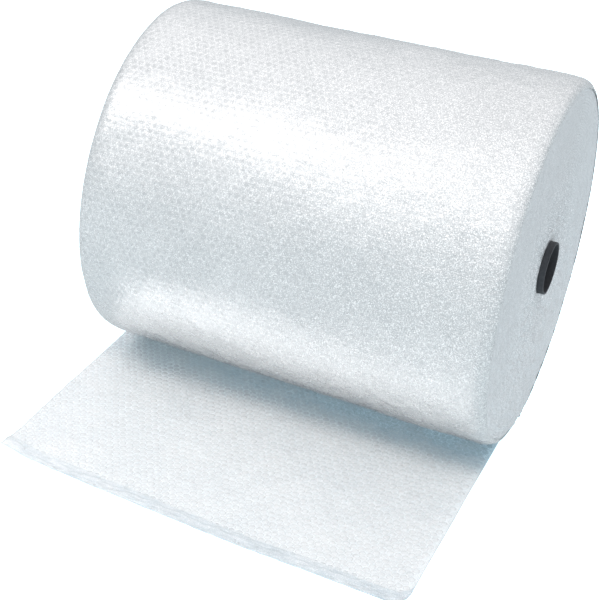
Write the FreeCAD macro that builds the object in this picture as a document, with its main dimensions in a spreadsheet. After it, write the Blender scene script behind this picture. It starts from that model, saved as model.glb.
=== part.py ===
import FreeCAD, Part

import math
import os

import Sketcher
from FreeCAD import Vector

# A roll of bubble film that lies on the floor with its outer end drawn out flat in front of it.
# The origin is on the floor under the middle of the roll. X runs along the roll, the loose
# end of the film points to -Y, and Z is up. All sizes are in millimetres.

SIZES = {
    # Winding
    "film_width": 600.0,
    "film_thickness": 4.0,
    "roll_radius": 257.0,
    "radius_growth": 10.0,
    "flat_depth": 6.0,
    "rim_width": 22.0,
    "rim_drop": 12.0,
    # Bubble rows, which run along the roll and across the loose end
    "bubble_pitch": 10.4,
    "row_relief": 1.2,
    # Turns that show on the ends of the roll
    "turn_step": 32.0,
    "turn_groove": 6.0,
    "turn_depth": 2.5,
    "turn_margin": 7.0,
    # Loose end
    "sheet_length": 435.0,
    "sheet_slant": 49.0,
    "sheet_bow": 7.3,
    "sheet_shift": -6.7,
    "sheet_plain": 100.0,
    "corner_radius": 28.0,
    "strip_width": 25.0,
    "strip_thickness": 1.4,
    # Core
    "core_diameter": 75.0,
    "core_wall": 3.0,
    "core_out": 8.0,
    "core_recess": 8.0,
    "winding_gap": 0.2,
    # How far the cutting solids reach past what they cut
    "overcut": 10.0,
}
RIM_CHORDS = 2
TURN_CHORDS = 30
SAME_POINT = 0.01

doc = FreeCAD.newDocument("bubble_roll")


def fill_sheet():
    """The driving dimensions, one row each: the name in column A and the value in column B."""
    sheet = doc.addObject("Spreadsheet::Sheet", "sizes")
    for row, (name, value) in enumerate(SIZES.items(), start=1):
        sheet.set(f"A{row}", name)
        sheet.set(f"B{row}", str(value))
        sheet.setAlias(f"B{row}", name)
    doc.recompute()
    return sheet


sizes = fill_sheet()


def size(name):
    return float(sizes.get(name))


def axis_height():
    """The roll sinks onto its flat spot, so its axis lies below the full radius."""
    return size("roll_radius") - size("flat_depth")


def row_pitch():
    """Staggered bubbles pack in rows that lie closer than the bubbles of one row."""
    return size("bubble_pitch") * math.cos(math.radians(30))


def feature(name, shape):
    """A document object that holds a shape worked out from the sheet."""
    made = doc.addObject("Part::Feature", name)
    made.Shape = shape
    return made


def bind(made, **expressions):
    """Binds properties to the sheet; a double underscore in a keyword stands for a dot."""
    for prop, expression in expressions.items():
        made.setExpression(prop.replace("__", "."), expression)


def boolean(kind, name, base, tool):
    made = doc.addObject(kind, name)
    made.Base = base
    made.Tool = tool
    return made


# Winding


def winding_outline():
    """Points (y, z) round the roll's middle, for a radius of 1 where the outer turn starts.

    The outer turn starts at the floor and runs up the back, over the top and down the front.
    It is one film thickness further in when it gets back to the floor. Each bubble row is a
    low ridge along the roll.
    """
    radius = size("roll_radius")
    rows = round(2 * math.pi * radius / row_pitch())
    steps = 2 * rows
    points = []
    for step in range(steps + 1):
        share = step / steps
        ridge = size("row_relief") * (step % 2 - 1)
        reach = (radius + ridge - size("film_thickness") * share) / radius
        angle = 2 * math.pi * share - math.pi / 2
        points.append((reach * math.cos(angle), reach * math.sin(angle)))
    return points


def winding_stations():
    """Pairs (x, radius) along the roll: its soft rims are rounded off in a few chords."""
    half = size("film_width") / 2
    right = []
    for chord in range(RIM_CHORDS + 1):
        turn = math.pi / 2 * chord / RIM_CHORDS
        inset = size("rim_width") * (1 - math.sin(turn))
        drop = size("rim_drop") * (1 - math.cos(turn))
        right.append((half - inset, size("roll_radius") + size("radius_growth") - drop))
    left = [(-x, radius - size("radius_growth")) for x, radius in reversed(right)]
    return left + right


def polygon(points):
    return Part.Face(Part.makePolygon(points + points[:1]))


def winding_shape():
    outline = winding_outline()
    rings = [
        [Vector(x, radius * y, axis_height() + radius * z) for y, z in outline]
        for x, radius in winding_stations()
    ]
    faces = [polygon(rings[0]), polygon(rings[-1])]
    for near, far in zip(rings, rings[1:]):
        for i in range(len(outline)):
            j = (i + 1) % len(outline)
            faces.append(polygon([near[i], near[j], far[j], far[i]]))
    solid = Part.makeSolid(Part.makeShell(faces))
    if solid.Volume < 0:
        solid.reverse()
    return solid


def turn_groove_shape(face_x, inward):
    """A spiral groove in one end of the roll. It shows a few of the turns, wound as the film is."""
    width = size("turn_groove")
    inner = size("core_diameter") / 2 + size("winding_gap") + size("turn_margin")
    outer = size("roll_radius") - size("rim_drop") - size("turn_margin")
    steps = int(TURN_CHORDS * (outer - width - inner) / size("turn_step"))
    near, far = [], []
    for step in range(steps + 1):
        angle = 2 * math.pi * step / TURN_CHORDS - math.pi / 2
        reach = outer - size("turn_step") * step / TURN_CHORDS
        for points, radius in ((near, reach - width), (far, reach)):
            points.append(
                Vector(face_x, radius * math.cos(angle), axis_height() + radius * math.sin(angle))
            )
    strip = polygon(near + far[::-1])
    return strip.extrude(Vector(inward * size("turn_depth"), 0, 0))


def make_rested_roll():
    winding = feature("winding", winding_shape())
    floor = doc.addObject("Part::Box", "floor")
    bind(
        floor,
        Length="sizes.film_width + 2 * sizes.overcut",
        Width="2 * (sizes.roll_radius + sizes.radius_growth + sizes.overcut)",
        Height="sizes.flat_depth + sizes.radius_growth + sizes.overcut",
        Placement__Base__x="-sizes.film_width / 2 - sizes.overcut",
        Placement__Base__y="-sizes.roll_radius - sizes.radius_growth - sizes.overcut",
        Placement__Base__z="-sizes.flat_depth - sizes.radius_growth - sizes.overcut",
    )
    return boolean("Part::Cut", "rested_roll", winding, floor)


def make_hollows():
    """The bore that the core fills, and the turns that show on both ends."""
    bore = doc.addObject("Part::Cylinder", "film_bore")
    bind(
        bore,
        Radius="sizes.core_diameter / 2 + sizes.winding_gap",
        Height="sizes.film_width + 2 * sizes.overcut",
        Placement__Base__x="-sizes.film_width / 2 - sizes.overcut",
        Placement__Base__z="sizes.roll_radius - sizes.flat_depth",
    )
    bore.Placement.Rotation = FreeCAD.Rotation(Vector(0, 1, 0), 90)
    half = size("film_width") / 2
    left = feature("left_turns", turn_groove_shape(-half, 1))
    right = feature("right_turns", turn_groove_shape(half, -1))
    hollows = doc.addObject("Part::Compound", "hollows")
    hollows.Links = [bore, left, right]
    return hollows


# Loose end


def plane_of(body, role):
    return next(plane for plane in body.Origin.OriginFeatures if plane.Role == role)


def add_line(sketch, start, end):
    return sketch.addGeometry(Part.LineSegment(Vector(*start, 0), Vector(*end, 0)), False)


def dimension(sketch, kind, geometry, name, expression):
    """A driving constraint that follows the sheet."""
    index = sketch.addConstraint(Sketcher.Constraint(kind, *geometry))
    sketch.renameConstraint(index, name)
    sketch.setExpression(f"Constraints.{name}", expression)


def upright_edge(shape, x, y):
    """The name of the edge that stands at a point of the plan."""
    foot = Vector(x, y, 0)
    head = Vector(x, y, size("film_thickness"))
    for number, edge in enumerate(shape.Edges, start=1):
        ends = [vertex.Point for vertex in edge.Vertexes]
        if all(any(end.isEqual(point, SAME_POINT) for end in ends) for point in (foot, head)):
            return f"Edge{number}"
    raise RuntimeError("the plan has no such corner")


def make_sheet_plan():
    """The loose end seen from above: square at its left corner, rounded at its right one."""
    body = doc.addObject("PartDesign::Body", "sheet_plan")
    sketch = body.newObject("Sketcher::SketchObject", "sheet_outline")
    sketch.AttachmentSupport = (plane_of(body, "XY_Plane"), [""])
    sketch.MapMode = "FlatFace"

    left = size("sheet_shift") - size("film_width") / 2
    right = size("sheet_shift") + size("film_width") / 2
    front_left = (left, -size("sheet_length"))
    front_right = (right, -size("sheet_length") - size("sheet_slant"))
    back_edge = add_line(sketch, (right, 0), (left, 0))
    left_edge = add_line(sketch, (left, 0), front_left)
    middle = (Vector(*front_left, 0) + Vector(*front_right, 0)) / 2
    bowed = middle - Vector(0, size("sheet_bow"), 0)
    arc = Part.ArcOfCircle(Vector(*front_left, 0), bowed, Vector(*front_right, 0))
    front_edge = sketch.addGeometry(arc, False)
    right_edge = add_line(sketch, front_right, (right, 0))

    origin = (-1, 1)
    for one, other in (
        ((back_edge, 2), (left_edge, 1)),
        ((left_edge, 2), (front_edge, 1)),
        ((front_edge, 2), (right_edge, 1)),
        ((right_edge, 2), (back_edge, 1)),
    ):
        sketch.addConstraint(Sketcher.Constraint("Coincident", *one, *other))
    sketch.addConstraint(Sketcher.Constraint("PointOnObject", back_edge, 1, -1))
    sketch.addConstraint(Sketcher.Constraint("Horizontal", back_edge))
    sketch.addConstraint(Sketcher.Constraint("Vertical", left_edge))
    sketch.addConstraint(Sketcher.Constraint("Vertical", right_edge))
    dimension(
        sketch, "DistanceX", (left_edge, 1, *origin, -left), "left_reach",
        "sizes.film_width / 2 - sizes.sheet_shift",
    )
    dimension(
        sketch, "DistanceX", (*origin, right_edge, 2, right), "right_reach",
        "sizes.film_width / 2 + sizes.sheet_shift",
    )
    dimension(
        sketch, "DistanceY", (left_edge, 2, left_edge, 1, size("sheet_length")), "left_side",
        "sizes.sheet_length",
    )
    right_side = size("sheet_length") + size("sheet_slant")
    dimension(
        sketch, "DistanceY", (right_edge, 1, right_edge, 2, right_side), "right_side",
        "sizes.sheet_length + sizes.sheet_slant",
    )
    chord_squared = "(sizes.film_width ^ 2 + sizes.sheet_slant ^ 2)"
    dimension(
        sketch, "Radius", (front_edge, arc.Radius), "front_bow",
        f"{chord_squared} / 8 / sizes.sheet_bow + sizes.sheet_bow / 2",
    )

    pad = body.newObject("PartDesign::Pad", "sheet_blank")
    pad.Profile = sketch
    bind(pad, Length="sizes.film_thickness")
    doc.recompute()

    rounding = body.newObject("PartDesign::Fillet", "sheet_corner")
    rounding.Base = (pad, [upright_edge(pad.Shape, *front_right)])
    bind(rounding, Radius="sizes.corner_radius")
    body.Tip = rounding
    return body


def sheet_rows_shape():
    """The section of the loose end: bubble rows across it, plain where the roll covers it."""
    top = size("film_thickness")
    valley = top - size("row_relief")
    front = size("sheet_length") + size("sheet_slant") + size("sheet_bow") + size("overcut")
    rows = math.ceil((front - size("sheet_plain")) / row_pitch())
    profile = [(0, -size("overcut")), (0, top), (-size("sheet_plain"), top)]
    for row in range(rows):
        start = -size("sheet_plain") - row * row_pitch()
        profile.append((start - row_pitch() / 2, valley))
        profile.append((start - row_pitch(), top))
    profile.append((profile[-1][0], -size("overcut")))
    half = size("film_width") / 2 + abs(size("sheet_shift")) + size("overcut")
    section = polygon([Vector(-half, y, z) for y, z in profile])
    return section.extrude(Vector(2 * half, 0, 0))


def make_loose_sheet():
    plan = make_sheet_plan()
    rows = feature("sheet_rows", sheet_rows_shape())
    ridged = boolean("Part::Common", "ridged_sheet", plan, rows)
    # The bubbles are pressed flat in a strip along the cut edge.
    strip = doc.addObject("Part::Box", "pressed_strip")
    bind(
        strip,
        Length="2 * sizes.film_width",
        Width="sizes.sheet_bow + sizes.overcut + sizes.strip_width",
        Height="sizes.film_thickness + sizes.overcut",
    )
    slant = math.degrees(math.atan2(size("sheet_slant"), size("film_width")))
    turn = FreeCAD.Rotation(Vector(0, 0, 1), -slant)
    left_edge = size("sheet_shift") - size("film_width") / 2
    corner = Vector(left_edge, -size("sheet_length"), size("strip_thickness"))
    reach = Vector(-size("film_width") / 2, -size("sheet_bow") - size("overcut"), 0)
    strip.Placement = FreeCAD.Placement(corner + turn.multVec(reach), turn)
    return boolean("Part::Cut", "loose_sheet", ridged, strip)


def make_film():
    """The whole film, wound and loose, is one solid."""
    film = boolean("Part::Fuse", "roll_and_sheet", make_rested_roll(), make_loose_sheet())
    bored = boolean("Part::Cut", "bubble_film", film, make_hollows())
    bored.Label = "bubble_film"
    return bored


# Core


def make_core():
    """A thin tube that stands a little proud of the right end of the film."""
    body = doc.addObject("PartDesign::Body", "core_tube")
    body.Label = "core_tube"
    bind(
        body,
        Placement__Base__x="sizes.core_recess - sizes.film_width / 2",
        Placement__Base__z="sizes.roll_radius - sizes.flat_depth",
    )
    sketch = body.newObject("Sketcher::SketchObject", "core_section")
    sketch.AttachmentSupport = (plane_of(body, "YZ_Plane"), [""])
    sketch.MapMode = "FlatFace"
    outer_diameter = size("core_diameter")
    inner_diameter = outer_diameter - 2 * size("core_wall")
    for name, diameter, expression in (
        ("outside", outer_diameter, "sizes.core_diameter"),
        ("inside", inner_diameter, "sizes.core_diameter - 2 * sizes.core_wall"),
    ):
        circle = Part.Circle(Vector(0, 0, 0), Vector(0, 0, 1), diameter / 2)
        ring = sketch.addGeometry(circle, False)
        sketch.addConstraint(Sketcher.Constraint("Coincident", ring, 3, -1, 1))
        dimension(sketch, "Diameter", (ring, diameter), name, expression)
    pad = body.newObject("PartDesign::Pad", "core_wall_pad")
    pad.Profile = sketch
    bind(pad, Length="sizes.film_width - sizes.core_recess + sizes.core_out")
    body.Tip = pad
    return body


def check_document():
    for made in doc.Objects:
        faults = [state for state in made.State if state in ("Invalid", "Error")]
        if faults:
            raise RuntimeError(f"{made.Name} is {faults}")


def export(pieces):
    os.makedirs("parts", exist_ok=True)
    for piece in pieces:
        shape = piece.Shape
        if shape.isNull() or not shape.isValid() or len(shape.Solids) != 1:
            raise RuntimeError(f"{piece.Label} is not one valid solid")
        print(piece.Label, "volume", round(shape.Volume / 1e9, 6), "m3", shape.BoundBox)
    for piece in pieces:
        piece.Shape.exportStep(f"parts/{piece.Label}.step")


subparts = [make_film(), make_core()]
doc.recompute()
check_document()
export(subparts)
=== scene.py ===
import math

import bpy
import numpy as np
from mathutils import Matrix, Vector


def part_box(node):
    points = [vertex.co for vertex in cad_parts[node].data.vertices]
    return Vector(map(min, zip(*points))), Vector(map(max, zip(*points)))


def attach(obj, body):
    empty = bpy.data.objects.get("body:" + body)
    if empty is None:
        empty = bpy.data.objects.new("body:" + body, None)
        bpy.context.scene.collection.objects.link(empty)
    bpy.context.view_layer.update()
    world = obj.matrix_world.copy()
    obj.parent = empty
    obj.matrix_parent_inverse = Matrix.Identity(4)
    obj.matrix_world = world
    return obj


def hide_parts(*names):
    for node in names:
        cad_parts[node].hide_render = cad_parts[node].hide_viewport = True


# A roll of bubble film on its side, its outer end drawn out flat in front of it. Metres.

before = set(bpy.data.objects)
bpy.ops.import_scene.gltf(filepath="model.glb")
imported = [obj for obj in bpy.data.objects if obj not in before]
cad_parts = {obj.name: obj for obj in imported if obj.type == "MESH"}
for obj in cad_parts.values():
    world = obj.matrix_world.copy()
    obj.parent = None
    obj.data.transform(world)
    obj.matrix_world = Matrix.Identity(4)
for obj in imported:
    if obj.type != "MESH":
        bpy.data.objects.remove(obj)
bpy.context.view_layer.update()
core_low, core_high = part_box("core_tube")

# Sizes of the winding and of its loose end
HALF = 0.300
RADIUS = 0.257
GROWTH = 0.010
LAYER = 0.004
AXIS_Z = (core_low.z + core_high.z) / 2
CORE_RADIUS = (core_high.z - core_low.z) / 2
RIM_WIDTH = 0.022
RIM_DROP = 0.012
PITCH = 0.0104
ROW = 0.0093
PILLOW = 0.00016
PIT = 0.00018
SKIN_DEPTH = 0.0016
END_DEPTH = 0.0012
SHEET_SHIFT = -0.0067
SHEET_LEFT = SHEET_SHIFT - HALF
SHEET_RIGHT = SHEET_SHIFT + HALF
SHEET_LENGTH = 0.435
SHEET_SLANT = 0.049
SHEET_BOW = 0.0073
CORNER = 0.028
STRIP = 0.025
SHEET_BACK = -0.035
SHEET_UNDER = 0.0003
SHEET_TOP = 0.0006
DOME_RADIUS = 0.0050
DOME_HEIGHT = 0.0013


# Mesh tools


def make_piece(name, points, faces, material, tones=None, smooth=True):
    """A mesh object from arrays; tones is a number per point that the material reads."""
    points = np.ascontiguousarray(points, np.float32)
    faces = np.ascontiguousarray(faces, np.int32)
    mesh = bpy.data.meshes.new(name)
    mesh.vertices.add(len(points))
    mesh.vertices.foreach_set("co", points.ravel())
    mesh.loops.add(faces.size)
    mesh.loops.foreach_set("vertex_index", faces.ravel())
    mesh.polygons.add(len(faces))
    mesh.polygons.foreach_set("loop_start", np.arange(0, faces.size, faces.shape[1], dtype=np.int32))
    mesh.polygons.foreach_set("use_smooth", np.full(len(faces), smooth))
    mesh.update(calc_edges=True)
    if tones is not None:
        layer = mesh.attributes.new("tone", "FLOAT", "POINT")
        layer.data.foreach_set("value", np.ascontiguousarray(tones, np.float32))
    mesh.materials.append(material)
    piece = bpy.data.objects.new(name, mesh)
    bpy.context.scene.collection.objects.link(piece)
    return piece


def grid_faces(rows, columns, wrap=False, flip=False):
    """Quads of a grid of points stored row by row; wrap joins the last column to the first."""
    i = np.arange(rows - 1)[:, None]
    j = np.arange(columns if wrap else columns - 1)[None, :]
    k = (j + 1) % columns
    here, there = i * columns, (i + 1) * columns
    quads = np.stack(np.broadcast_arrays(here + j, here + k, there + k, there + j), -1).reshape(-1, 4)
    return quads[:, ::-1] if flip else quads


def waves(seed, count, shortest, longest):
    """A smooth random relief over a plane, of about -1 to 1, as a sum of sine waves."""
    rng = np.random.default_rng(seed)
    length = np.exp(rng.uniform(math.log(shortest), math.log(longest), count))
    turn = rng.uniform(0, 2 * math.pi, count)
    phase = rng.uniform(0, 2 * math.pi, count)
    gain = (length / longest) ** 0.5
    gain /= np.sqrt((gain**2).sum()) * 1.2

    def relief(a, b):
        total = np.zeros(np.broadcast(a, b).shape)
        for n in range(count):
            along = a * math.cos(turn[n]) + b * math.sin(turn[n])
            total += gain[n] * np.sin(2 * math.pi * along / length[n] + phase[n])
        return total

    return relief


def ridged(relief):
    """Turns a smooth relief into one with sharp creases, of 0 to 1."""
    return lambda a, b: 1 - np.minimum(np.abs(relief(a, b)) * 1.6, 1)


# Materials


class Nodes:
    """A short way to wire a procedural material."""

    def __init__(self, name):
        self.material = bpy.data.materials.new(name)
        self.material.use_nodes = True
        self.tree = self.material.node_tree
        self.shader = self.tree.nodes["Principled BSDF"]

    def node(self, kind, inputs=None, **settings):
        made = self.tree.nodes.new(kind)
        for key, value in settings.items():
            setattr(made, key, value)
        for key, value in (inputs or {}).items():
            self.feed(made.inputs[key], value)
        return made

    def feed(self, socket, value):
        if isinstance(value, bpy.types.NodeSocket):
            self.tree.links.new(value, socket)
        else:
            socket.default_value = value

    def place(self, scale=(1, 1, 1), turn=(0, 0, 0)):
        where = self.node("ShaderNodeTexCoord").outputs["Object"]
        given = {"Vector": where, "Scale": scale, "Rotation": turn}
        return self.node("ShaderNodeMapping", given).outputs[0]

    def noise(self, scale, detail=2.0, rough=0.5, where=None, distortion=0.0):
        given = {"Scale": scale, "Detail": detail, "Roughness": rough, "Distortion": distortion}
        given["Vector"] = where if where is not None else self.place()
        return self.node("ShaderNodeTexNoise", given).outputs[0]

    def ramp(self, value, low, high, out_low=0.0, out_high=1.0):
        given = {"Value": value, "From Min": low, "From Max": high}
        given.update({"To Min": out_low, "To Max": out_high})
        return self.node("ShaderNodeMapRange", given).outputs[0]

    def math(self, operation, a, b=0.0):
        return self.node("ShaderNodeMath", {0: a, 1: b}, operation=operation).outputs[0]

    def mix(self, share, a, b):
        made = self.node("ShaderNodeMix", data_type="RGBA")
        self.feed(made.inputs[0], share)
        self.feed(made.inputs[6], a)
        self.feed(made.inputs[7], b)
        return made.outputs[2]

    def tone(self):
        return self.node("ShaderNodeAttribute", attribute_name="tone").outputs["Fac"]

    def bump(self, height, distance, strength=1.0, under=None):
        given = {"Height": height, "Distance": distance, "Strength": strength}
        if under is not None:
            given["Normal"] = under
        return self.node("ShaderNodeBump", given).outputs[0]

    def let_through(self, share):
        """Lets that share of the light pass straight through, as thin film does."""
        clear = self.node("ShaderNodeBsdfTransparent")
        both = self.node("ShaderNodeMixShader")
        self.feed(both.inputs[0], share)
        self.tree.links.new(self.shader.outputs[0], both.inputs[1])
        self.tree.links.new(clear.outputs[0], both.inputs[2])
        self.tree.links.new(both.outputs[0], self.tree.nodes["Material Output"].inputs[0])

    def finish(self, **sockets):
        for key, value in sockets.items():
            self.feed(self.shader.inputs[key.replace("_", " ")], value)
        return self.material


def film_material(name, light, dark, roughness, sheen, crinkle, painted_glints, clear=None, end=False):
    """Clear film in layers, milky and glossy. Tone 1 is a gap between bubbles.

    The gloss follows a fine crinkle, which is stronger towards the right end, and the milky
    colour under it only a broad one. Painted glints, light specks painted into the colour, grow
    towards the right, or at an end towards the tube. At an end the colour is also painted lighter
    low down and darker at the top, as painted light. Tone carries painted shade too, such as the
    nip shadow of the loose end. Clear is the share of light that passes, at tone 0 and 1.
    """
    m = Nodes(name)
    split = m.node("ShaderNodeSeparateXYZ", {"Vector": m.place()})
    across, up = split.outputs[0], split.outputs[2]
    right = m.ramp(across, -0.10, 0.22)
    mottle_and_painted_end_light = m.ramp(m.noise(9.0, 3.0, 0.6), 0.3, 0.7, -0.04, 0.04)
    veil = m.ramp(m.noise(24.0, 3.0, 0.6), 0.35, 0.65, 0.75, 1.1)
    # Painted glints: a fine noise that makes light specks in the colour.
    grain_and_glint_noise = m.ramp(m.noise(640.0, 1.0, 0.5), 0.36, 0.47, -1.0, 0.12)
    if end:
        tube = {0: m.place((0, 1, 1)), 1: (0, 0, AXIS_Z)}
        away = m.node("ShaderNodeVectorMath", tube, operation="DISTANCE").outputs["Value"]
        speck_and_painted_glint = m.math("MULTIPLY", grain_and_glint_noise, m.ramp(away, 0.06, 0.15, *painted_glints))
        # Painted light: an end is lighter low down, where light bounces up from the floor, and darker
        # at the top.
        mottle_and_painted_end_light = m.math("ADD", mottle_and_painted_end_light, m.ramp(up, 0.08, 0.30, -0.15, 0.10))
    else:
        speck_and_painted_glint = m.math("MULTIPLY", grain_and_glint_noise, m.ramp(right, 0.0, 1.0, *painted_glints))
    if clear:
        net = m.tone()
    else:
        net = m.math("MULTIPLY", m.math("SUBTRACT", m.tone(), 0.5), m.ramp(right, 0.0, 1.0, 0.65, 0.3))
        net = m.math("MULTIPLY", net, m.ramp(up, 0.05, 0.45, 0.3, 1.0))
        mottle_and_painted_end_light = m.math("ADD", mottle_and_painted_end_light, 0.5)
    share = m.math("ADD", m.math("MULTIPLY", net, veil), mottle_and_painted_end_light)
    share = m.node("ShaderNodeClamp", {"Value": m.math("ADD", share, speck_and_painted_glint)}).outputs[0]
    colour = m.mix(share, (*light, 1), (*dark, 1))
    amount = m.ramp(right, 0.0, 1.0, *crinkle)
    fine = m.noise(420.0, 2.0, 0.6, m.place((1.0, 1.2, 1.2)), 0.4)
    broad = m.noise(34.0, 4.0, 0.6, m.place((1.0, 1.5, 1.5)), 1.2)
    rough = m.ramp(m.noise(60.0, 3.0, 0.6), 0.3, 0.7, roughness * 0.75, roughness * 1.3)
    base = m.bump(fine, 0.0008, m.ramp(right, 0.0, 1.0, 0.25, 1.0), m.bump(broad, 0.0010, amount))
    gloss = m.bump(fine, 0.0006, amount, base)
    if clear:
        m.let_through(m.ramp(share, 0.0, 1.0, *clear))
    return m.finish(
        Base_Color=colour,
        Roughness=rough,
        Normal=base,
        Metallic=sheen,
        Coat_Weight=1.0,
        Coat_Roughness=0.07,
        Coat_IOR=2.1,
        Coat_Normal=gloss,
        Specular_IOR_Level=0.2,
    )


def core_material():
    m = Nodes("core_grey")
    speck_and_painted_glint = m.noise(260.0, 3.0, 0.6)
    mottle_and_painted_end_light = m.noise(18.0, 2.0, 0.5)
    share = m.ramp(m.math("MULTIPLY", speck_and_painted_glint, mottle_and_painted_end_light), 0.12, 0.42)
    colour = m.mix(share, (0.030, 0.031, 0.035, 1), (0.052, 0.054, 0.060, 1))
    rough = m.ramp(speck_and_painted_glint, 0.3, 0.7, 0.5, 0.72)
    worn = m.bump(speck_and_painted_glint, 0.0003, 0.4)
    return m.finish(Base_Color=colour, Roughness=rough, Normal=worn, Specular_IOR_Level=0.25)


skin_film = film_material(
    "wound_film",
    light=(1.0, 0.995, 0.99),
    dark=(0.36, 0.375, 0.385),
    roughness=0.28,
    sheen=0.55,
    crinkle=(0.5, 1.3),
    painted_glints=(0.45, 0.75),
)
end_film = film_material(
    "film_edges",
    light=(0.80, 0.78, 0.785),
    dark=(0.34, 0.345, 0.355),
    roughness=0.40,
    sheen=0.15,
    crinkle=(0.5, 1.0),
    painted_glints=(1.4, 0.2),
    end=True,
)
# The loose end and its bubbles: their dark bluish colours are reached mostly in the painted nip shadow.
loose_film = film_material(
    "loose_film",
    light=(0.98, 0.965, 0.965),
    dark=(0.12, 0.20, 0.28),
    roughness=0.34,
    sheen=0.1,
    crinkle=(0.3, 0.4),
    painted_glints=(0.15, 0.2),
    clear=(0.22, 0.55),
)
dome_film = film_material(
    "bubble_domes",
    light=(1.0, 0.985, 0.98),
    dark=(0.14, 0.22, 0.30),
    roughness=0.30,
    sheen=0.1,
    crinkle=(0.15, 0.2),
    painted_glints=(0.2, 0.25),
    clear=(0.58, 0.74),
)

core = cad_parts["core_tube"]
core.data.materials.clear()
core.data.materials.append(core_material())


# Winding

RIM_LENGTH = 0.0278
SKIN_LENGTH = 2 * (HALF - RIM_WIDTH) + 2 * RIM_LENGTH
sag_waves = waves(3, 14, 0.10, 0.45)
crease_waves = ridged(waves(5, 16, 0.035, 0.16))
pull_waves = ridged(waves(8, 10, 0.03, 0.10))


def profile(s):
    """x and the drop below the full radius, at a length s along the skin from the left end."""
    inside = np.clip(s - RIM_LENGTH, 0, 2 * (HALF - RIM_WIDTH))
    left = np.clip(1 - s / RIM_LENGTH, 0, 1) * math.pi / 2
    right = np.clip(1 - (SKIN_LENGTH - s) / RIM_LENGTH, 0, 1) * math.pi / 2
    x = inside - (HALF - RIM_WIDTH) + RIM_WIDTH * (np.sin(right) - np.sin(left))
    drop = RIM_DROP * (1 - np.cos(left) + 1 - np.cos(right))
    return x, drop


def outer_radius(x, share):
    return RADIUS + GROWTH * (x + HALF) / (2 * HALF) - LAYER * share


def rest_on_floor(z):
    """Keeps a height above the floor with a soft bend into the flat spot."""
    soft = 0.002
    return np.where(z > soft, z, soft * np.exp(np.minimum(z / soft - 1, 0)) + 0.0002)


def skin_point(s, share, lift):
    """A point of the outer turn. Share runs from 0 at the floor, up the back, to 1."""
    x, drop = profile(s)
    angle = 2 * math.pi * share - math.pi / 2
    girth = 2 * math.pi * RADIUS * share
    right = np.clip((x + 0.05) / 0.3, 0, 1)
    relief = 0.0011 * sag_waves(x, girth)
    relief = relief + (0.0006 + 0.0004 * right) * crease_waves(x, girth * 0.8)
    low = np.clip((share - 0.78) / 0.12, 0, 1)
    relief = relief + 0.0004 * low * pull_waves(x + 0.6 * girth, girth * 0.35)
    reach = outer_radius(x, share) - drop + lift + relief - SKIN_DEPTH
    z = rest_on_floor(AXIS_Z + reach * np.sin(angle))
    return np.stack([x, reach * np.cos(angle), z], -1)


def weld(points, faces, tones):
    """Joins points that lie on each other and drops faces that closed up."""
    key = np.round(points * 20000).astype(np.int64)
    _, first, back = np.unique(key, axis=0, return_index=True, return_inverse=True)
    back = back.ravel()
    faces = back[faces]
    good = (faces[:, 0] != faces[:, 1]) & (faces[:, 1] != faces[:, 2]) & (faces[:, 0] != faces[:, 2])
    return points[first], faces[good], tones[first]


def make_skin():
    """The outer turn in two halves: a low pillow over each bubble, a pit where three meet."""
    across = round(SKIN_LENGTH / PITCH)
    pitch = SKIN_LENGTH / across
    rows = 2 * round(2 * math.pi * RADIUS / ROW / 2)
    row = 2 * math.pi * RADIUS / rows
    k = np.arange(12)
    after = (k + 1) % 12
    # A cell has a middle point, a ring of 12 on the pillow and a border of 12: its corners, where
    # three cells meet, and points on the sides between them
    corner = k % 2 == 1
    ring_s = 0.36 * pitch * np.cos(k * math.pi / 6)
    ring_g = 0.36 * pitch * np.sin(k * math.pi / 6)
    border_s = pitch * np.array([2, 2, 1, 0, -1, -2, -2, -2, -1, 0, 1, 2]) / 4
    border_g = row * np.array([0, 2, 3, 4, 3, 2, 0, -2, -3, -4, -3, -2]) / 6
    border_lift = np.where(corner, -PIT, 0.00001)
    # The pits where three cells meet take a darker tone than the sides: partly the film between
    # bubbles, partly painted shade in the pits.
    border_tone = np.where(corner, 0.38, 0.28)
    rng = np.random.default_rng(11)
    pieces = []
    for name, first, last in (("skin_back", 0, rows // 2), ("skin_front", rows // 2, rows)):
        jj, ii = np.meshgrid(np.arange(first, last), np.arange(-1, across + 1), indexing="ij")
        s0 = ((ii + 0.5 + 0.5 * (jj % 2)) * pitch).ravel()
        g0 = ((jj + 0.5) * row).ravel()
        keep = (s0 > -pitch * 0.49) & (s0 < SKIN_LENGTH + pitch * 0.49)
        s0, g0 = s0[keep][:, None], g0[keep][:, None]
        n = len(s0)
        swell = PILLOW * rng.uniform(0.55, 1.0, (n, 1))
        deep = rng.uniform(0.65, 0.85, (n, 1))
        tilt_s, tilt_g = rng.normal(0, 0.025, (2, n, 1))
        ring_lift = 0.86 * swell + tilt_s * ring_s + tilt_g * ring_g
        whole = np.ones((n, 1))
        s = np.clip(np.hstack([s0, s0 + ring_s, s0 + border_s]), 0, SKIN_LENGTH)
        g = np.hstack([g0, g0 + ring_g, g0 + border_g])
        lift = np.hstack([swell, ring_lift, whole * border_lift])
        tone = np.hstack([deep, np.repeat(0.8 * deep, 12, 1), whole * border_tone])
        tone = tone + 0.5 * (np.exp(-s / 0.012) + np.exp(-(SKIN_LENGTH - s) / 0.012))
        points = skin_point(s, g / (rows * row), lift)
        base = np.arange(n)[:, None] * 25
        middle = np.stack([np.broadcast_to(base, (n, 12)), base + 1 + k, base + 1 + after], -1)
        outer_a = np.stack([base + 1 + k, base + 13 + k, base + 13 + after], -1)
        outer_b = np.stack([base + 1 + k, base + 13 + after, base + 1 + after], -1)
        faces = np.concatenate([middle, outer_a, outer_b], 1).reshape(-1, 3)
        points, faces, tone = weld(points.reshape(-1, 3), faces, tone.ravel())
        pieces.append(make_piece(name, points, faces[:, ::-1], skin_film, tone))
    return pieces


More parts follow.
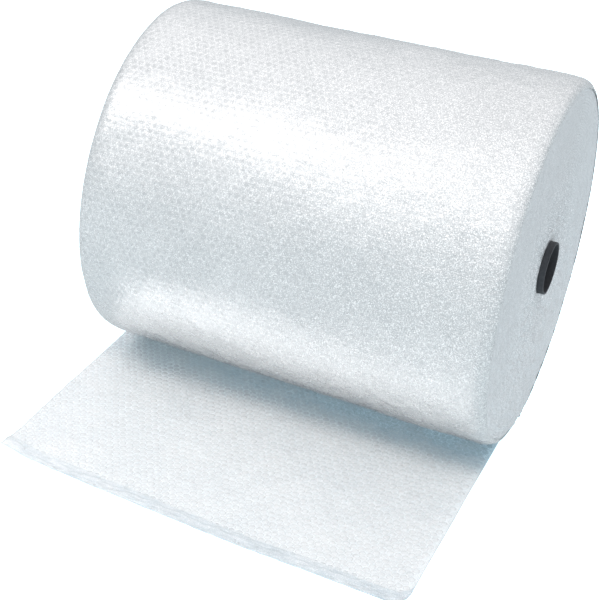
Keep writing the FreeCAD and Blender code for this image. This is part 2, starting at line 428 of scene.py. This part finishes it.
def make_end(name, side, around, across):
    """One end of the roll: the edges of its turns, from the outer rim to the tube."""
    inner = CORE_RADIUS + 0.0003
    v = np.linspace(0, 1, across)[:, None]
    share = np.linspace(0, 1, around)[None, :]
    angle = 2 * math.pi * share - math.pi / 2
    x_end = side * HALF
    rim = outer_radius(x_end, share) - RIM_DROP + 0.0002
    radius = rim + (inner - rim) * v
    turn = (radius + LAYER * share) / LAYER
    phase = turn - np.floor(turn)
    ridge = 0.5 + 0.5 * np.cos(2 * math.pi * phase)
    y = radius * np.cos(angle)
    z = AXIS_Z + radius * np.sin(angle)
    rng = np.random.default_rng(31 + int(side))
    loose = waves(40 + int(side), 18, 0.02, 0.12)(y, z)
    broad = waves(50 + int(side), 10, 0.10, 0.40)(y, z)
    creases = ridged(waves(60 + int(side), 24, 0.012, 0.05))(y, z)
    low = np.clip((AXIS_Z + 0.06 - z) / 0.12, 0, 1)
    near = np.clip(1.5 - radius / 0.10, 0, 1)
    crumple = np.clip(0.25 + 0.75 * np.maximum(low, near), 0, 1)
    height = 0.0009 * ridge + 0.0006 * loose * crumple + 0.0012 * broad + 0.0022 * creases * crumple
    height = height + rng.normal(0, 0.00018, height.shape) * crumple
    fade = np.minimum(1, v / 0.03) * np.clip((radius - inner) / 0.012, 0, 1)
    x = x_end + side * (height * fade - END_DEPTH)
    # Darker in the grooves between turns, partly the seams of the turns and partly painted shade;
    # crumpled parts are darker away from their raised creases.
    tone = np.clip(1 - ridge, 0, 1) * (0.35 + 0.4 * crumple) + 0.25 * (1 - creases) * crumple
    points = np.stack(np.broadcast_arrays(x, y, rest_on_floor(z)), -1).reshape(-1, 3)
    tone = np.broadcast_to(tone, (across, around)).ravel()
    well_x = np.full(around, side * (HALF - 0.016))
    well = np.stack([well_x, (inner * np.cos(angle))[0], AXIS_Z + (inner * np.sin(angle))[0]], -1)
    points = np.concatenate([points, well])
    # The bore wall at the tube takes full tone: painted shade in the bore.
    tone = np.concatenate([tone, np.ones(around)])
    faces = grid_faces(across + 1, around, flip=side < 0)
    return make_piece(name, points, faces, end_film, tone)


# Loose end

lie_waves = waves(71, 10, 0.12, 0.5)
fold_waves = ridged(waves(73, 14, 0.03, 0.14))


def front_edge(x):
    """y of the cut front edge, slanted, bowed and rounded at its right corner."""
    share = (x - SHEET_LEFT) / (2 * HALF)
    y = -SHEET_LENGTH - SHEET_SLANT * share - SHEET_BOW * 4 * share * (1 - share)
    past = np.clip(x - (SHEET_RIGHT - CORNER), 0, CORNER)
    return y + CORNER - np.sqrt(np.maximum(CORNER**2 - past**2, 0))


def sheet_height(x, y):
    """How far the loose end stands off the floor: it waves a little and its edges lift."""
    out = np.clip((-y - 0.10) / 0.15, 0, 1)
    relief = 0.0009 * np.maximum(1 + lie_waves(x, y), 0) * out
    relief = relief + 0.0008 * fold_waves(x, y) * out
    to_left = x - SHEET_LEFT
    to_front = y - front_edge(x)
    curl = np.exp(-to_left / 0.018) + np.exp(-np.maximum(to_front, 0) / 0.012)
    pinch = np.exp(-((to_left - 0.012) ** 2 + (to_front - 0.012) ** 2) / 0.022**2)
    return relief + 0.0012 * curl * out + 0.005 * pinch


def painted_nip_shadow(x, y):
    """Painted shadow: how much the colour darkens where the film comes off the roll, most of all at the
    right.
    """
    near = np.clip((y + 0.18) / 0.075, 0, 1)
    return near**2 * (3 - 2 * near) * (0.62 + 0.36 * np.clip(x / HALF, -1, 1))


def make_sheet():
    """The film under the bubbles: a thin closed layer with a pressed strip at its front edge.

    Returns the piece and the area of the film laid flat.
    """
    columns, rows = 200, 130
    x = SHEET_LEFT + 2 * HALF * (1 - (1 - np.linspace(0, 1, columns)) ** 1.15)
    front = front_edge(x)
    v = 1 - (1 - np.linspace(0, 1, rows)[:, None]) ** 1.4
    y = SHEET_BACK + (front - SHEET_BACK) * v
    xx = np.broadcast_to(x, y.shape)
    from_front = y - front
    strip = np.clip(1 - (from_front - STRIP * 0.85) / 0.004, 0, 1)
    crinkle = waves(81, 26, 0.006, 0.03)(xx, y)
    creased = ridged(waves(83, 20, 0.010, 0.05))(xx * 0.6, y * 1.8)
    height = sheet_height(xx, y) + strip * (0.0005 + 0.00045 * crinkle + 0.0009 * creased)
    fold = np.exp(-((from_front - STRIP * 0.55) ** 2) / 0.0016**2)
    height = height + 0.0006 * fold
    bottom = SHEET_UNDER + sheet_height(xx, y) * 0.98
    top = SHEET_TOP + height
    strip_tone = 0.13 + 0.08 * xx / HALF + 0.10 * (1 - creased)
    # Painted shadow: the film is darkened where it comes off the roll, in the roll's shade.
    tone = 0.09 + strip * strip_tone + painted_nip_shadow(xx, y)
    edge = np.minimum(np.minimum(xx - SHEET_LEFT, SHEET_RIGHT - xx), from_front)
    tone = tone + 0.25 * np.exp(-edge / 0.0011)
    upper = np.stack([xx, y, top], -1).reshape(-1, 3)
    lower = np.stack([xx, y, bottom], -1).reshape(-1, 3)
    n = columns * rows
    faces = np.concatenate([grid_faces(rows, columns, flip=True), grid_faces(rows, columns) + n])
    rim = np.concatenate(
        [
            np.arange(columns),
            np.arange(1, rows) * columns + columns - 1,
            (rows - 1) * columns + np.arange(columns - 2, -1, -1),
            np.arange(rows - 2, 0, -1) * columns,
        ]
    )
    after = np.roll(rim, -1)
    walls = np.stack([rim, after, after + n, rim + n], -1)
    faces = np.concatenate([faces, walls])
    tones = np.clip(np.concatenate([tone.ravel(), tone.ravel()]), 0, 1)
    piece = make_piece("loose_end", np.concatenate([upper, lower]), faces, loose_film, tones)
    depth = SHEET_BACK - front
    area = float(((depth[1:] + depth[:-1]) / 2 * np.diff(x)).sum())
    return piece, area


def make_domes():
    """The bubbles of the loose end, in staggered rows.

    They are squeezed where the roll comes down on them, and nearly flat on the pressed strip.
    """
    columns = round(2 * HALF / PITCH)
    jj, ii = np.meshgrid(np.arange(64), np.arange(columns), indexing="ij")
    x0 = (SHEET_LEFT + (ii + 0.32 + 0.5 * (jj % 2)) * PITCH).ravel()
    y0 = (SHEET_BACK - 0.012 - jj * ROW).ravel()
    inside = (x0 < SHEET_RIGHT - DOME_RADIUS * 0.9) & (x0 > SHEET_LEFT + DOME_RADIUS * 0.6)
    past = np.clip(x0 - (SHEET_RIGHT - CORNER), 0, None)
    to_front = y0 - front_edge(x0)
    inside &= to_front > DOME_RADIUS + past * 0.3
    x0, y0, to_front = x0[inside], y0[inside], to_front[inside]
    radius = outer_radius(x0, 1.0)
    room = AXIS_Z - np.sqrt(np.maximum(radius**2 - y0**2, 0)) - 0.0012
    rng = np.random.default_rng(91)
    n = len(x0)
    tall = np.clip(np.minimum(DOME_HEIGHT * rng.uniform(0.82, 1.0, n), room), 0.0003, None)
    tall = np.where(to_front < STRIP, 0.3 * tall, tall)
    lean_x = rng.normal(0, 0.05, n)
    lean_y = rng.normal(0, 0.05, n)
    rings = ((1.0, 0.0, 0.14), (0.90, 0.40, 0.11), (0.66, 0.76, 0.06), (0.34, 0.95, 0.04))
    # Painted shadow in the nip, plus the greyer tone of the pressed strip.
    painted_shadow_and_strip_tone = painted_nip_shadow(x0, y0) + np.where(to_front < STRIP, 0.10 + 0.07 * x0 / HALF, 0)
    painted_shadow_and_strip_tone = painted_shadow_and_strip_tone[:, None]
    turn = np.arange(10) * math.pi / 5
    ground = sheet_height(x0, y0) + 0.0005
    points, tones = [], []
    for reach, rise, tone in rings:
        dx = reach * DOME_RADIUS * np.cos(turn)
        dy = reach * DOME_RADIUS * np.sin(turn)
        lean = (lean_x[:, None] * dx + lean_y[:, None] * dy) / DOME_RADIUS
        dz = tall[:, None] * rise * (1 + lean)
        points.append(np.stack([x0[:, None] + dx, y0[:, None] + dy, ground[:, None] + dz], -1))
        tones.append(tone + painted_shadow_and_strip_tone + np.zeros((n, 10)))
    points.append(np.stack([x0, y0, ground + tall], -1)[:, None, :])
    tones.append(0.04 + painted_shadow_and_strip_tone)
    points = np.concatenate(points, 1)
    size = points.shape[1]
    base = np.arange(n)[:, None] * size
    k = np.arange(10)
    nxt = (k + 1) % 10
    faces = []
    for ring in range(len(rings) - 1):
        a, b = 10 * ring, 10 * (ring + 1)
        faces.append(np.stack([base + a + k, base + a + nxt, base + b + nxt], -1))
        faces.append(np.stack([base + a + k, base + b + nxt, base + b + k], -1))
    top = 10 * (len(rings) - 1)
    summit = np.broadcast_to(base + size - 1, (n, 10))
    faces.append(np.stack([base + top + k, base + top + nxt, summit], -1))
    faces = np.concatenate(faces, 1).reshape(-1, 3)
    tones = np.concatenate(tones, 1).ravel()
    return make_piece("bubble_domes", points.reshape(-1, 3), faces, dome_film, tones)


film_pieces = make_skin()
film_pieces.append(make_end("end_right", 1, 401, 170))
film_pieces.append(make_end("end_left", -1, 301, 120))
loose_end, loose_area = make_sheet()
domes = make_domes()
film_pieces += [loose_end, domes]
for piece in film_pieces:
    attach(piece, "root")
    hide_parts("bubble_film")


# Floor, light and camera


def make_floor():
    m = Nodes("floor_white")
    grain_and_glint_noise = m.noise(3.0, 2.0, 0.5)
    colour = m.mix(grain_and_glint_noise, (0.92, 0.92, 0.92, 1), (0.94, 0.94, 0.94, 1))
    glow = (0.62, 0.90, 1.0, 1)
    m.finish(Base_Color=colour, Roughness=0.9, Emission_Color=glow, Emission_Strength=1.0)
    reach = 9.0
    corners = np.array([[-reach, -reach, 0], [reach, -reach, 0], [reach, reach, 0], [-reach, reach, 0]])
    floor = make_piece("floor", corners, np.array([[0, 1, 2, 3]]), m.material, smooth=False)
    floor.visible_glossy = False
    return floor


def add_light(name, toward, distance, size, power, target=(0.0, -0.05, 0.25), colour=(1, 1, 1)):
    """A soft rectangular light; toward is the direction from the target to the light."""
    lamp = bpy.data.lights.new(name, "AREA")
    lamp.shape = "RECTANGLE"
    lamp.size, lamp.size_y = size
    lamp.energy = power
    lamp.color = colour
    made = bpy.data.objects.new(name, lamp)
    bpy.context.scene.collection.objects.link(made)
    way = Vector(toward).normalized()
    along = (Vector((1, 0, 0)) - way * way.x).normalized()
    place = Matrix((along, way.cross(along), way)).transposed().to_4x4()
    place.translation = Vector(target) + way * distance
    made.matrix_world = place
    return made


def make_world():
    """Soft white light from all round, a little darker near the horizon."""
    world = bpy.data.worlds.new("studio")
    bpy.context.scene.world = world
    world.use_nodes = True
    tree = world.node_tree
    ground = tree.nodes["Background"]
    where = tree.nodes.new("ShaderNodeTexCoord")
    split = tree.nodes.new("ShaderNodeSeparateXYZ")
    spread = tree.nodes.new("ShaderNodeMapRange")
    tree.links.new(where.outputs["Generated"], split.inputs[0])
    tree.links.new(split.outputs[2], spread.inputs[0])
    spread.inputs["From Min"].default_value = 0.0
    spread.inputs["From Max"].default_value = 0.8
    spread.inputs["To Min"].default_value = 0.0
    spread.inputs["To Max"].default_value = 1.0
    blend = tree.nodes.new("ShaderNodeMix")
    blend.data_type = "RGBA"
    blend.inputs[6].default_value = (0.55, 0.59, 0.62, 1)
    blend.inputs[7].default_value = (1.04, 1.06, 1.09, 1)
    tree.links.new(spread.outputs[0], blend.inputs[0])
    tree.links.new(blend.outputs[2], ground.inputs["Color"])


def make_camera():
    azimuth, elevation, roll = 0.35295, 0.51611, 0.09619
    distance = 2.08129
    target = Vector((0.03502, -0.24902, 0.24196))
    back = Vector(
        (
            math.sin(azimuth) * math.cos(elevation),
            -math.cos(azimuth) * math.cos(elevation),
            math.sin(elevation),
        )
    )
    level = Vector((0, 0, 1)).cross(back).normalized()
    up = back.cross(level)
    right = level * math.cos(roll) + up * math.sin(roll)
    up = up * math.cos(roll) - level * math.sin(roll)
    data = bpy.data.cameras.new("view")
    data.sensor_width = 36.0
    data.lens = 1585.93 / 600 * 36.0
    camera = bpy.data.objects.new("view", data)
    bpy.context.scene.collection.objects.link(camera)
    place = Matrix((right, up, back)).transposed().to_4x4()
    place.translation = target + back * distance
    camera.matrix_world = place
    bpy.context.scene.camera = camera


floor = make_floor()
make_world()
softbox = {"toward": (-0.30, -0.48, 0.83), "distance": 2.2, "size": (2.8, 0.60)}
add_light("overhead_softbox", power=6.5, colour=(1.0, 0.95, 0.92), **softbox)
spread = add_light("overhead_spread", power=17, colour=(1.0, 0.94, 0.90), **softbox)
spread.visible_glossy = False
strip = add_light("low_strip", (0.0, -0.45, -0.8), 0.0, (0.56, 0.10), 0.06, (-0.02, -0.29, 0.03))
strip.visible_camera = False
make_camera()
bpy.context.scene.view_settings.view_transform = "Standard"
